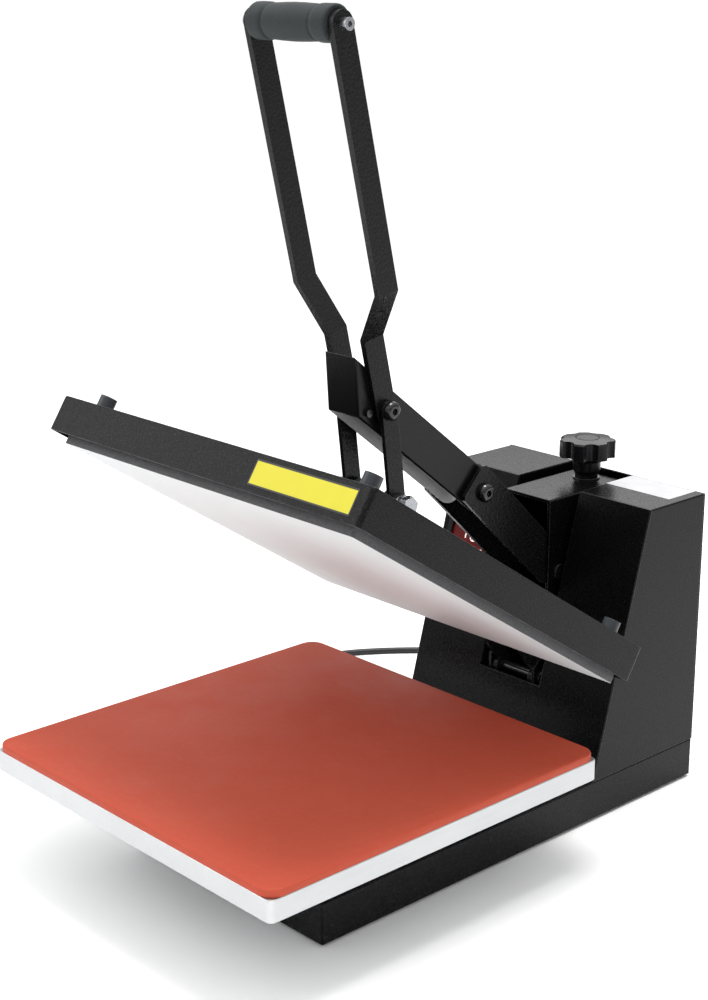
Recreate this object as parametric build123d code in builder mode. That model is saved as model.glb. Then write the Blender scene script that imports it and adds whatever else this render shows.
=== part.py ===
"""Clamshell heat press, 380 mm square, modelled open, in millimetres.

+Z is up, +Y is to the rear and +X is to the operator's right. The origin is on the bench,
under the middle of the press.
"""
import math
import os

from build123d import *

os.makedirs("parts", exist_ok=True)

# ---------------------------------------------------------------- driving dimensions
FOOT_H = 3.0
BASE_W, BASE_L, BASE_H = 252.0, 496.0, 38.0
BASE_Y = 54.5
SHEET = 2.0
PLATEN = 380.0
PLATEN_Y = -112.5
PLATE_T, PAD_T = 19.5, 7.0
PLATE_Z = 90.0
HOUSING_TOP = 296.0
SLOT_HALF, SLOT_Z = 40.0, 108.0
TOWER_HALF, TOWER_WALL, TOWER_TOP = 30.0, 3.0, 291.0
TOWER_FRONT, TOWER_REAR = 187.5, 293.5
OPEN_ANGLE = 33.06

# pivots, as (y, z)
HINGE = (183.4, 109.6)
ROCKER = (203.3, 215.8)
ARM = (98.5, 316.0)
KNEE = (-26.5, 415.0)
GRIP = (-102.7, 741.0)
SCREW_Y = 275.5

# upper platen, in its own plane: j runs from its front edge to the rear, k is height
COVER_W, COVER_D, COVER_H, COVER_T = 402.0, 388.0, 33.0, 1.5
HEATER_W, HEATER_D, HEATER_T = 376.0, 372.0, 20.0
HEATER_J, HEATER_DROP = 12.0, 6.5
LINK_J, LINK_K = 206.5, 62.0
CLOSED_GAP = 0.2

# slabs across the machine, as distances from the centre plane
ARM_HALF, ARM_WALL, ARM_DEPTH = 20.0, 2.5, 39.0
BAR_T, BAR_W = 6.0, 22.0
BAR_OUT = 48.3
LINK_IN, LINK_T, LINK_W = 26.4, 4.0, 18.0
ROCKER_IN, ROCKER_T, ROCKER_W = 22.5, 4.0, 40.0
YOKE_IN, YOKE_T = 20.5, 5.0
FIT = 0.05

# power cord
CORD_D = 7.0
CORD_EXIT = (-96.0, 334.0, 66.0)
COIL_CENTRE = (-298.0, 52.0)
COIL_MID_D = 78.0

BASE_TOP = FOOT_H + BASE_H
BASE_FRONT, BASE_REAR = BASE_Y - BASE_L / 2, BASE_Y + BASE_L / 2
PLATE_TOP = PLATE_Z + PLATE_T
PAD_TOP = PLATE_TOP + PAD_T
HALF_W = BASE_W / 2
PANEL_LOW_Y, PANEL_TOP_Y = 149.5, 219.3


# ---------------------------------------------------------------- helpers
def save(piece, label):
    """Label a finished piece and write it as one STEP file."""
    piece.part.label = label
    export_step(piece.part, f"parts/{label}.step")


def turned(point, centre, degrees):
    """Turn a (y, z) point about a (y, z) centre, positive from +Y towards +Z."""
    turn = math.radians(degrees)
    y, z = point[0] - centre[0], point[1] - centre[1]
    return (
        centre[0] + y * math.cos(turn) - z * math.sin(turn),
        centre[1] + y * math.sin(turn) + z * math.cos(turn),
    )


def along(start, end, distance, side=0.0):
    """Point at a distance from start towards end, and to the left of that line by side."""
    length = math.dist(start, end)
    dy, dz = (end[0] - start[0]) / length, (end[1] - start[1]) / length
    return (start[0] + dy * distance - dz * side, start[1] + dz * distance + dy * side)


def slab(inner, thickness, side):
    """Plane of the face at the smaller X of a slab on one side (-1 left, 1 right)."""
    return Plane.YZ.offset(inner if side > 0 else -inner - thickness)


def cross_bolt(centre, shank_r, reach, head_r, head_h):
    """Shank across the machine with a domed head on its right end and a nut on its left."""
    with BuildPart() as bolt:
        with BuildSketch(Plane.YZ.offset(-reach - head_h - 2)):
            with Locations(centre):
                Circle(shank_r)
        extrude(amount=2 * reach + head_h + 2)
        with BuildSketch(Plane.YZ.offset(reach)):
            with Locations(centre):
                Circle(head_r)
        extrude(amount=head_h)
        fillet(bolt.faces().sort_by(Axis.X)[-1].edges(), radius=head_h * 0.7)
        with BuildSketch(Plane.YZ.offset(reach + head_h)):
            with Locations(centre):
                RegularPolygon(head_r * 0.38, 6)
        extrude(amount=-head_h * 0.55, mode=Mode.SUBTRACT)
        with BuildSketch(Plane.YZ.offset(-reach)):
            with Locations(centre):
                RegularPolygon(head_r + 0.8, 6)
        extrude(amount=-head_h)
    return bolt


# ---------------------------------------------------------------- base
with BuildPart() as base_frame:
    with BuildSketch(Plane.XY.offset(FOOT_H)):
        with Locations((0, BASE_Y)):
            RectangleRounded(BASE_W, BASE_L, 2)
    extrude(amount=BASE_H)
    fillet(base_frame.faces().sort_by(Axis.Z)[-1].edges(), radius=1.8)
    with BuildSketch(Plane.XY.offset(FOOT_H + SHEET)):
        with Locations((0, BASE_Y)):
            Rectangle(BASE_W - 2 * SHEET, BASE_L - 2 * SHEET)
    extrude(amount=BASE_H - 2 * SHEET, mode=Mode.SUBTRACT)
    with BuildSketch(Plane.XY.offset(FOOT_H)):
        with Locations((0, BASE_Y)):
            Rectangle(BASE_W - 80, BASE_L - 80)
    extrude(amount=SHEET, mode=Mode.SUBTRACT)
    with Locations((0, BASE_Y, FOOT_H)):
        with GridLocations(BASE_W - 52, BASE_L - 52, 2, 2):
            Hole(3.1, depth=SHEET * 2)
    with Locations((0, 245.0, BASE_TOP)):
        with GridLocations(30, 60, 2, 2):
            Hole(4.2, depth=SHEET * 2)
    with Locations((0, PLATEN_Y, BASE_TOP)):
        with GridLocations(50, 120, 2, 2):
            Hole(4.2, depth=SHEET * 2)
save(base_frame, "base_frame")

with BuildPart() as rubber_feet:
    with BuildSketch():
        with Locations((0, BASE_Y)):
            with GridLocations(BASE_W - 52, BASE_L - 52, 2, 2):
                Circle(13)
    extrude(amount=FOOT_H)
    with BuildSketch(Plane.XY.offset(FOOT_H)):
        with Locations((0, BASE_Y)):
            with GridLocations(BASE_W - 52, BASE_L - 52, 2, 2):
                Circle(3)
    extrude(amount=8)
    chamfer(rubber_feet.edges().group_by(Axis.Z)[0], length=0.8)
save(rubber_feet, "rubber_feet")

# ---------------------------------------------------------------- lower platen
PEDESTAL_H = PLATE_Z - BASE_TOP
with BuildPart() as platen_pedestal:
    with BuildSketch(Plane.XZ.offset(-PLATEN_Y - 90)):
        with BuildLine():
            Polyline(
                (-65, BASE_TOP), (-42, BASE_TOP), (-42, PLATE_Z - 3), (42, PLATE_Z - 3),
                (42, BASE_TOP), (65, BASE_TOP), (65, BASE_TOP + 3), (45, BASE_TOP + 3),
                (45, PLATE_Z), (-45, PLATE_Z), (-45, BASE_TOP + 3), (-65, BASE_TOP + 3), close=True,
            )
        make_face()
    extrude(amount=180)
save(platen_pedestal, "platen_pedestal")

STANDOFF_X, STANDOFF_Y = 117.0, -104.5
with BuildPart() as platen_standoffs:
    with BuildSketch(Plane.XY.offset(BASE_TOP)):
        with Locations((-STANDOFF_X, STANDOFF_Y), (STANDOFF_X, STANDOFF_Y)):
            Circle(6)
    extrude(amount=PEDESTAL_H)
    chamfer(platen_standoffs.edges().group_by(Axis.Z)[0], length=1)
save(platen_standoffs, "platen_standoffs")

with BuildPart() as lower_platen:
    with BuildSketch(Plane.XY.offset(PLATE_Z)):
        with Locations((0, PLATEN_Y)):
            RectangleRounded(PLATEN, PLATEN, 6)
    extrude(amount=PLATE_T)
    chamfer(lower_platen.edges().group_by(Axis.Z)[-1], length=0.6)
    chamfer(lower_platen.edges().group_by(Axis.Z)[0], length=0.6)
    with Locations((0, PLATEN_Y, PLATE_TOP)):
        with GridLocations(50, 120, 2, 2):
            CounterSinkHole(radius=4.2, counter_sink_radius=9, depth=PLATE_T)
save(lower_platen, "lower_platen")

with BuildPart() as platen_screws:
    with Locations((0, PLATEN_Y, PLATE_TOP - 0.5)):
        with GridLocations(50, 120, 2, 2):
            Cone(3.0, 8.0, 5.0, align=(Align.CENTER, Align.CENTER, Align.MAX))
    with BuildSketch(Plane.XY.offset(PLATE_Z + 0.2)):
        with Locations((0, PLATEN_Y)):
            with GridLocations(50, 120, 2, 2):
                Circle(3.0)
    extrude(amount=PLATE_T - 5)
save(platen_screws, "platen_screws")

with BuildPart() as silicone_pad:
    with BuildSketch(Plane.XY.offset(PLATE_TOP)):
        with Locations((0, PLATEN_Y)):
            RectangleRounded(PLATEN, PLATEN, 15)
    extrude(amount=PAD_T)
    fillet(silicone_pad.edges().group_by(Axis.Z)[-1], radius=1.2)
save(silicone_pad, "silicone_pad")

# ---------------------------------------------------------------- tower
EAR_FRONT, EAR_TOP = 171.0, 131.0
FLANGE_T = 6.0
with BuildPart() as tower_frame:
    for side in (-1, 1):
        with BuildSketch(slab(TOWER_HALF - TOWER_WALL, TOWER_WALL, side)) as wall:
            with BuildLine():
                Polyline(
                    (EAR_FRONT, BASE_TOP), (TOWER_REAR, BASE_TOP), (TOWER_REAR, TOWER_TOP),
                    (TOWER_FRONT, TOWER_TOP), (TOWER_FRONT, EAR_TOP + 8), (EAR_FRONT, EAR_TOP - 8),
                    close=True,
                )
            make_face()
            with Locations(HINGE):
                Circle(5 + FIT, mode=Mode.SUBTRACT)
            with Locations(ROCKER):
                Circle(5 + FIT, mode=Mode.SUBTRACT)
        extrude(amount=TOWER_WALL)
    with BuildSketch(Plane.XY.offset(TOWER_TOP - TOWER_WALL)):
        with Locations((0, (TOWER_FRONT + TOWER_REAR) / 2)):
            Rectangle(2 * TOWER_HALF, TOWER_REAR - TOWER_FRONT)
        with Locations((0, SCREW_Y)):
            Circle(6 + FIT, mode=Mode.SUBTRACT)
    extrude(amount=TOWER_WALL)
    fillet(tower_frame.faces().sort_by(Axis.Z)[-1].edges().filter_by(Axis.Y), radius=2.4)
    with BuildSketch(Plane.XY.offset(BASE_TOP)):
        with Locations((0, (EAR_FRONT + TOWER_REAR) / 2)):
            Rectangle(2 * SLOT_HALF - 6, TOWER_REAR - EAR_FRONT)
    extrude(amount=FLANGE_T)
    with Locations((0, 245.0, BASE_TOP + FLANGE_T)):
        with GridLocations(30, 60, 2, 2):
            Hole(4.2, depth=FLANGE_T)
save(tower_frame, "tower_frame")

with BuildPart() as tower_bolts:
    with BuildSketch(Plane.XY.offset(BASE_TOP - 10)):
        with Locations((0, 245.0)):
            with GridLocations(30, 60, 2, 2):
                Circle(4)
    extrude(amount=10 + FLANGE_T)
    with BuildSketch(Plane.XY.offset(BASE_TOP + FLANGE_T)):
        with Locations((0, 245.0)):
            with GridLocations(30, 60, 2, 2):
                RegularPolygon(7.5, 6)
    extrude(amount=5.5)
save(tower_bolts, "tower_bolts")

with BuildPart() as pivot_pins:
    with BuildSketch(Plane.YZ.offset(-TOWER_HALF)):
        with Locations(HINGE, ROCKER):
            Circle(5)
    extrude(amount=2 * TOWER_HALF)
    for side in (-1, 1):
        with BuildSketch(slab(TOWER_HALF, 1.8, side)):
            with Locations(HINGE, ROCKER):
                Circle(7.5)
        extrude(amount=1.8)
save(pivot_pins, "pivot_pins")


# ---------------------------------------------------------------- housing
def panel_y(z):
    """Front face of the slanted panel at a height."""
    share = (z - BASE_TOP) / (HOUSING_TOP - BASE_TOP)
    return PANEL_LOW_Y + share * (PANEL_TOP_Y - PANEL_LOW_Y)


PANEL_TILT = math.atan2(PANEL_TOP_Y - PANEL_LOW_Y, HOUSING_TOP - BASE_TOP)
PANEL_DEPTH = SHEET / math.cos(PANEL_TILT)
PANEL_PLANE = Plane(
    origin=(0, PANEL_LOW_Y, BASE_TOP),
    x_dir=(1, 0, 0),
    z_dir=(0, -math.cos(PANEL_TILT), math.sin(PANEL_TILT)),
)


def panel_s(z):
    """Distance up the slanted panel from its lower edge to a height."""
    return (z - BASE_TOP) / math.cos(PANEL_TILT)


DISPLAY_X, DISPLAY_Z = -83.0, 219.0
DISPLAY_W, DISPLAY_H = 62.0, 38.0
BUTTON_Z, BUTTON_PITCH, BUTTON_R = 182.0, 21.0, 5.5
BUTTON_NAMES = ("mode_button", "down_button", "up_button")
BUTTON_X = [DISPLAY_X + BUTTON_PITCH * (i - 1) for i in range(3)]

with BuildPart() as front_panel:
    with BuildSketch(Plane.YZ.offset(-HALF_W)):
        with BuildLine():
            Polyline(
                (PANEL_LOW_Y, BASE_TOP), (PANEL_LOW_Y + PANEL_DEPTH, BASE_TOP),
                (PANEL_TOP_Y + PANEL_DEPTH, HOUSING_TOP), (PANEL_TOP_Y, HOUSING_TOP), close=True,
            )
        make_face()
    extrude(amount=BASE_W)
    folds = front_panel.edges().filter_by(lambda e: abs(abs(e.center().X) - HALF_W) < 0.01)
    fillet(folds.filter_by(lambda e: e.length > 200).group_by(Axis.Y)[0], radius=1.4)
    with BuildSketch(Plane.XY.offset(SLOT_Z)):
        with Locations((0, PANEL_TOP_Y)):
            Rectangle(2 * SLOT_HALF, 200)
    extrude(amount=HOUSING_TOP, mode=Mode.SUBTRACT)
    with BuildSketch(PANEL_PLANE.offset(5)):
        with Locations((DISPLAY_X, panel_s(DISPLAY_Z))):
            RectangleRounded(DISPLAY_W, DISPLAY_H, 2)
        with Locations(*[(x, panel_s(BUTTON_Z)) for x in BUTTON_X]):
            Circle(BUTTON_R + 0.25)
    extrude(amount=-12, mode=Mode.SUBTRACT)
save(front_panel, "front_panel")


def housing_shell(side):
    """Folded wing of the housing: outer wall, top and the wall beside the slot."""
    with BuildPart() as shell:
        for inner, label in ((HALF_W - SHEET, "outer"), (SLOT_HALF, "inner")):
            with BuildSketch(slab(inner, SHEET, side)):
                with BuildLine():
                    Polyline(
                        (PANEL_LOW_Y + PANEL_DEPTH, BASE_TOP), (BASE_REAR - SHEET, BASE_TOP),
                        (BASE_REAR - SHEET, HOUSING_TOP), (PANEL_TOP_Y + PANEL_DEPTH, HOUSING_TOP),
                        close=True,
                    )
                make_face()
            extrude(amount=SHEET)
        with BuildSketch(slab(SLOT_HALF, HALF_W - SLOT_HALF, side)):
            with BuildLine():
                Polyline(
                    (panel_y(HOUSING_TOP - SHEET) + PANEL_DEPTH, HOUSING_TOP - SHEET),
                    (BASE_REAR - SHEET, HOUSING_TOP - SHEET), (BASE_REAR - SHEET, HOUSING_TOP),
                    (PANEL_TOP_Y + PANEL_DEPTH, HOUSING_TOP), close=True,
                )
            make_face()
        extrude(amount=HALF_W - SLOT_HALF)
        fillet(shell.faces().sort_by(Axis.Z)[-1].edges().filter_by(Axis.Y), radius=1.6)
    return shell


for side, name in ((-1, "housing_left_shell"), (1, "housing_right_shell")):
    save(housing_shell(side), name)

GLAND = (-96.0, 66.0)
SWITCH = (84.0, 84.0)
REAR_VENT = (0.0, 190.0)
with BuildPart() as rear_panel:
    with BuildSketch(Plane.XZ.offset(-BASE_REAR)):
        with Locations((0, (BASE_TOP + HOUSING_TOP) / 2)):
            Rectangle(BASE_W, HOUSING_TOP - BASE_TOP)
        with Locations(GLAND):
            Circle(7 + FIT, mode=Mode.SUBTRACT)
        with Locations(SWITCH):
            Rectangle(27.5, 21.5, mode=Mode.SUBTRACT)
        for x in (-83, 83):
            with Locations((x, REAR_VENT[1])):
                with GridLocations(0, 10, 1, 6):
                    SlotOverall(44, 4, mode=Mode.SUBTRACT)
    extrude(amount=SHEET)
save(rear_panel, "rear_panel")

with BuildPart() as housing_screws:
    for x in (-112, 112):
        for z in (56, 276):
            with BuildSketch(Plane.XZ.offset(-BASE_REAR)):
                with Locations((x, z)):
                    Circle(3.5)
            extrude(amount=-1.8)
save(housing_screws, "housing_screws")

with BuildPart() as rating_label:
    with BuildSketch(Plane.XY.offset(HOUSING_TOP)):
        with Locations((77, 280.5)):
            RectangleRounded(77, 41, 1)
    extrude(amount=0.25)
save(rating_label, "rating_label")

with BuildPart() as display_module:
    with BuildSketch(PANEL_PLANE.offset(-7)):
        with Locations((DISPLAY_X, panel_s(DISPLAY_Z))):
            RectangleRounded(DISPLAY_W - 1, DISPLAY_H - 1, 2)
    extrude(amount=6.2)
save(display_module, "display_module")

with BuildPart() as display_bezel:
    with BuildSketch(PANEL_PLANE):
        with Locations((DISPLAY_X, panel_s(DISPLAY_Z))):
            RectangleRounded(DISPLAY_W + 8, DISPLAY_H + 8, 4)
            RectangleRounded(DISPLAY_W - 4, DISPLAY_H - 4, 2, mode=Mode.SUBTRACT)
    extrude(amount=1.6)
    chamfer(display_bezel.faces().sort_by(Axis.Y)[0].outer_wire().edges(), length=0.6)
save(display_bezel, "display_bezel")

for name, x in zip(BUTTON_NAMES, BUTTON_X):
    with BuildPart() as button:
        with BuildSketch(PANEL_PLANE.offset(-5.5)):
            with Locations((x, panel_s(BUTTON_Z))):
                Circle(BUTTON_R)
        extrude(amount=7.5)
        fillet(button.edges().sort_by(Axis.Y)[0], radius=0.8)
    save(button, name)

BOARD_DEPTH = 12.0
with BuildPart() as controller_board:
    with BuildSketch(PANEL_PLANE.offset(-BOARD_DEPTH)):
        with Locations((DISPLAY_X, panel_s(198))):
            Rectangle(72, 92)
    extrude(amount=1.6)
    with BuildSketch(PANEL_PLANE.offset(-BOARD_DEPTH)):
        with Locations((DISPLAY_X - 18, panel_s(170)), (DISPLAY_X + 18, panel_s(170))):
            Rectangle(14, 20)
    extrude(amount=-10)
    with BuildSketch(PANEL_PLANE.offset(-BOARD_DEPTH + 1.6)):
        with Locations((DISPLAY_X, panel_s(DISPLAY_Z))):
            with GridLocations(64, 0, 2, 1):
                Circle(2.5)
        with Locations(*[(x, panel_s(BUTTON_Z)) for x in BUTTON_X]):
            Rectangle(6, 6)
    extrude(amount=2.4)
save(controller_board, "controller_board")

with BuildPart() as solid_state_relay:
    with BuildSketch(Plane.XY.offset(BASE_TOP)):
        with Locations((-84, 245)):
            RectangleRounded(45, 58, 2)
    extrude(amount=23)
    with BuildSketch(Plane.XY.offset(BASE_TOP + 23)):
        with Locations((-84, 245)):
            with GridLocations(24, 46, 2, 2):
                Circle(4)
    extrude(amount=3)
save(solid_state_relay, "solid_state_relay")

REAR_PLANE = Plane(origin=(0, BASE_REAR, 0), x_dir=(-1, 0, 0), z_dir=(0, 1, 0))
SWITCH_PIVOT = (BASE_REAR - 6.0, SWITCH[1])
STUB_R, SWITCH_TILT = 1.6, 8.0
with BuildPart() as switch_frame:
    with BuildSketch(REAR_PLANE):
        with Locations((-SWITCH[0], SWITCH[1])):
            RectangleRounded(31, 25, 2)
            Rectangle(22.2, 15.2, mode=Mode.SUBTRACT)
    extrude(amount=1.6)
    with BuildSketch(REAR_PLANE):
        with Locations((-SWITCH[0], SWITCH[1])):
            Rectangle(27, 21)
            Rectangle(22.2, 15.2, mode=Mode.SUBTRACT)
    extrude(amount=-14)
    with BuildSketch(REAR_PLANE.offset(-18)):
        with Locations((-SWITCH[0], SWITCH[1])):
            Rectangle(27, 21)
    extrude(amount=4)
    with BuildSketch(Plane.YZ.offset(SWITCH[0] - 12.6)):
        with Locations(SWITCH_PIVOT):
            Circle(STUB_R + FIT)
    extrude(amount=25.2, mode=Mode.SUBTRACT)
save(switch_frame, "switch_frame")

with BuildPart() as power_switch:
    with BuildSketch(Plane.YZ.offset(SWITCH[0] - 10.8)):
        with BuildLine():
            face = [(-3.0, 5.0), (8.0, 6.0), (6.4, 0.0), (8.0, -6.0), (-3.0, -5.0)]
            face = [(SWITCH_PIVOT[0] + y, SWITCH_PIVOT[1] + z) for y, z in face]
            Polyline(*[turned(point, SWITCH_PIVOT, -SWITCH_TILT) for point in face], close=True)
        make_face()
    extrude(amount=21.6)
    with BuildSketch(Plane.YZ.offset(SWITCH[0] - 12.4)):
        with Locations(SWITCH_PIVOT):
            Circle(STUB_R)
    extrude(amount=24.8)
save(power_switch, "power_switch")

# ---------------------------------------------------------------- pressure screw and rocker
KNOB_Z, KNOB_H, KNOB_R = 314.0, 17.0, 28.0
SCREW_R, SCREW_LOW = 6.0, 192.0
with BuildPart() as pressure_screw:
    with BuildSketch(Plane.XY.offset(SCREW_LOW)):
        with Locations((0, SCREW_Y)):
            Circle(SCREW_R)
    extrude(amount=KNOB_Z - SCREW_LOW)
    chamfer(pressure_screw.edges().group_by(Axis.Z)[0], length=1)
    with BuildSketch(Plane.XY.offset(TOWER_TOP - TOWER_WALL - 6.3)):
        with Locations((0, SCREW_Y)):
            Circle(10)
    extrude(amount=6)
save(pressure_screw, "pressure_screw")

with BuildPart() as knob_washer:
    with BuildSketch(Plane.XY.offset(TOWER_TOP)):
        with Locations((0, SCREW_Y)):
            Circle(13.5)
            Circle(SCREW_R + FIT, mode=Mode.SUBTRACT)
    extrude(amount=1.6)
save(knob_washer, "knob_washer")

KNOB_LOBES = 7
with BuildPart() as pressure_knob:
    with BuildSketch(Plane.XZ.offset(-SCREW_Y)):
        with BuildLine():
            Polyline(
                (SCREW_R, TOWER_TOP + 1.8), (11.5, TOWER_TOP + 1.8), (11.5, TOWER_TOP + 4.5),
                (14, TOWER_TOP + 9), (14, KNOB_Z - 5), (20, KNOB_Z), (KNOB_R, KNOB_Z),
                (KNOB_R, KNOB_Z + KNOB_H - 1.5), (KNOB_R - 1.5, KNOB_Z + KNOB_H),
                (12, KNOB_Z + KNOB_H + 1.5), (0, KNOB_Z + KNOB_H + 1.5), (0, KNOB_Z), (SCREW_R, KNOB_Z),
                close=True,
            )
        make_face()
    revolve(axis=Axis((0, SCREW_Y, 0), (0, 0, 1)))
    with BuildSketch(Plane.XY.offset(KNOB_Z - 8)):
        with Locations((0, SCREW_Y)):
            with PolarLocations(KNOB_R + 3.2, KNOB_LOBES, start_angle=10):
                Circle(8.2)
    extrude(amount=KNOB_H + 12, mode=Mode.SUBTRACT)
    knob_top = KNOB_Z + KNOB_H
    rims = pressure_knob.edges().filter_by(lambda e: knob_top - 2 < e.center().Z < knob_top + 0.1)
    fillet(rims.filter_by(lambda e: math.dist((e.center().X, e.center().Y), (0, SCREW_Y)) > 14), radius=0.7)
    with BuildSketch(Plane.XY.offset(KNOB_Z + KNOB_H + 2)):
        with Locations((0, SCREW_Y)):
            Circle(12.4)
            Circle(11.2, mode=Mode.SUBTRACT)
    extrude(amount=-1.2, mode=Mode.SUBTRACT)
save(pressure_knob, "pressure_knob")

TRUNNION_R = 9.0
rocker_tail = (SCREW_Y, ROCKER[1])
rocker_run = math.dist(ARM, ROCKER)


def rocker_plate(side):
    """Dog-leg plate from the arm's pivot down to the rocker pin and back to the screw."""
    with BuildPart() as plate:
        with BuildSketch(slab(ROCKER_IN, ROCKER_T, side)):
            with BuildLine():
                Polyline(
                    along(ARM, ROCKER, -19, ROCKER_W / 2 - 3), along(ARM, ROCKER, -16, ROCKER_W / 2),
                    along(ARM, ROCKER, rocker_run - 4, ROCKER_W / 2), (ROCKER[0] + 24, ROCKER[1] + 16),
                    (SCREW_Y + 12, ROCKER[1] + 16), (SCREW_Y + 12, ROCKER[1] - 16),
                    (ROCKER[0] + 2, ROCKER[1] - 18), along(ARM, ROCKER, rocker_run - 12, -ROCKER_W / 2),
                    along(ARM, ROCKER, -16, -ROCKER_W / 2), along(ARM, ROCKER, -19, 3 - ROCKER_W / 2),
                    close=True,
                )
            make_face()
            with Locations(ROCKER):
                Circle(5 + FIT, mode=Mode.SUBTRACT)
            with Locations(ARM):
                Circle(6 + FIT, mode=Mode.SUBTRACT)
            with Locations(rocker_tail):
                Circle(TRUNNION_R + FIT, mode=Mode.SUBTRACT)
        extrude(amount=ROCKER_T)
    return plate


for side, name in ((-1, "rocker_plate_left"), (1, "rocker_plate_right")):
    save(rocker_plate(side), name)

with BuildPart() as trunnion_nut:
    with BuildSketch(Plane.YZ.offset(-ROCKER_IN - ROCKER_T)):
        with Locations(rocker_tail):
            Circle(TRUNNION_R)
    extrude(amount=2 * (ROCKER_IN + ROCKER_T))
    with BuildSketch(Plane.XY.offset(ROCKER[1] - 15)):
        with Locations((0, SCREW_Y)):
            Circle(SCREW_R + 0.35)
    extrude(amount=30, mode=Mode.SUBTRACT)
save(trunnion_nut, "trunnion_nut")

save(cross_bolt(ARM, 6.0, ROCKER_IN + ROCKER_T, 9.0, 6.5), "arm_pivot_bolt")

# ---------------------------------------------------------------- arm
ARM_FRONT_TOP = (-57.5, 463.5)
ARM_FRONT_LOW = (-54.0, 411.5)


def arm_edge(front_y, side):
    """Point on one long edge of the arm at a given Y."""
    run = (front_y - ARM[0]) / (KNEE[0] - ARM[0]) * math.dist(ARM, KNEE)
    probe = along(ARM, KNEE, run, side)
    slope = (KNEE[1] - ARM[1]) / (KNEE[0] - ARM[0])
    return (front_y, probe[1] + (front_y - probe[0]) * slope)


with BuildPart() as arm_channel:
    half = ARM_DEPTH / 2
    with BuildSketch(Plane.YZ.offset(-ARM_HALF)):
        with BuildLine():
            low_front = arm_edge(ARM_FRONT_LOW[0], half)
            top_front = arm_edge(ARM_FRONT_TOP[0], -half)
            low_rear = along(ARM, KNEE, 0, half)
            top_rear = along(ARM, KNEE, 0, -half)
            Polyline(low_rear, low_front, top_front, top_rear)
            ThreePointArc(top_rear, along(ARM, KNEE, -half), low_rear)
        make_face()
        with Locations(ARM):
            Circle(6 + FIT, mode=Mode.SUBTRACT)
        with Locations(KNEE):
            Circle(5 + FIT, mode=Mode.SUBTRACT)
    extrude(amount=2 * ARM_HALF)
    sides = arm_channel.edges().filter_by(lambda e: abs(abs(e.center().X) - ARM_HALF) < 0.01)
    nose = sides.filter_by(lambda e: e.center().Y < ARM_FRONT_LOW[0] + 1 and e.length > 30)
    spine = sides.filter_by(lambda e: e.length > 120).group_by(Axis.Z)[-1]
    fillet(nose + spine, radius=2.2)
    with BuildSketch(Plane.YZ.offset(ARM_WALL - ARM_HALF)):
        with BuildLine():
            Polyline(
                along(ARM, KNEE, -40, ARM_WALL - half),
                arm_edge(ARM_FRONT_TOP[0] + ARM_WALL, ARM_WALL - half),
                (ARM_FRONT_LOW[0] + ARM_WALL, 380), (60, 240), along(ARM, KNEE, -40, half + 20),
                close=True,
            )
        make_face()
    extrude(amount=2 * (ARM_HALF - ARM_WALL), mode=Mode.SUBTRACT)
    with BuildSketch(Plane.YZ.offset(ARM_WALL - ARM_HALF)):
        with Locations(ARM):
            Circle(half + 1)
    extrude(amount=2 * (ARM_HALF - ARM_WALL), mode=Mode.SUBTRACT)
save(arm_channel, "arm_channel")

CAP_SCREW = (-43.5, 414.0)
with BuildPart() as cap_screws:
    for side in (-1, 1):
        with BuildSketch(slab(ARM_HALF, 3.2, side)):
            with Locations(CAP_SCREW):
                Circle(3.6)
        extrude(amount=3.2)
save(cap_screws, "cap_screws")

# ---------------------------------------------------------------- handle
BAR_LENGTH = math.dist(KNEE, GRIP)
JOGGLE_LOW, JOGGLE_HIGH = 68.0, 112.0


def handle_bar(side):
    """Flat bar with a joggle outwards, seen from the front and cut to its width."""
    plane = Plane(
        origin=(0, KNEE[0], KNEE[1]),
        x_dir=(side, 0, 0),
        z_dir=(0, -side * (GRIP[1] - KNEE[1]), side * (GRIP[0] - KNEE[0])),
    )
    low, high = -13.0, BAR_LENGTH + 11.0
    inner = [(ARM_HALF, low), (ARM_HALF, JOGGLE_LOW), (BAR_OUT, JOGGLE_HIGH), (BAR_OUT, high)]
    shift = BAR_T * math.tan(math.atan2(BAR_OUT - ARM_HALF, JOGGLE_HIGH - JOGGLE_LOW) / 2)
    outer = [
        (BAR_OUT + BAR_T, high), (BAR_OUT + BAR_T, JOGGLE_HIGH - shift),
        (ARM_HALF + BAR_T, JOGGLE_LOW - shift), (ARM_HALF + BAR_T, low),
    ]
    with BuildPart() as bar:
        with BuildSketch(plane) as profile:
            with BuildLine():
                Polyline(*inner, *outer, close=True)
            make_face()
            bends = [v for v in profile.vertices() if JOGGLE_LOW - 10 < profile_height(v) < JOGGLE_HIGH + 10]
            fillet(bends, radius=9)
        extrude(amount=BAR_W / 2, both=True)
        ends = bar.edges().filter_by(Axis.X).filter_by(lambda e: e.length < BAR_T + 0.1)
        fillet(ends, radius=BAR_W / 2 - 0.2)
        for centre, radius in ((KNEE, 5 + FIT), (GRIP, 4 + FIT)):
            with BuildSketch(Plane.YZ.offset(-100)):
                with Locations(centre):
                    Circle(radius)
            extrude(amount=200, mode=Mode.SUBTRACT)
    return bar


def profile_height(vertex):
    """Height of a profile vertex along the bar, from the knee."""
    rise = (vertex.Y - KNEE[0]) * (GRIP[0] - KNEE[0]) + (vertex.Z - KNEE[1]) * (GRIP[1] - KNEE[1])
    return rise / BAR_LENGTH


for side, name in ((-1, "handle_bar_left"), (1, "handle_bar_right")):
    save(handle_bar(side), name)

with BuildPart() as grip_rod:
    with BuildSketch(Plane.YZ.offset(-BAR_OUT)):
        with Locations(GRIP):
            Circle(8)
            Circle(4 + FIT, mode=Mode.SUBTRACT)
    extrude(amount=2 * BAR_OUT)
save(grip_rod, "grip_rod")

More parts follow.
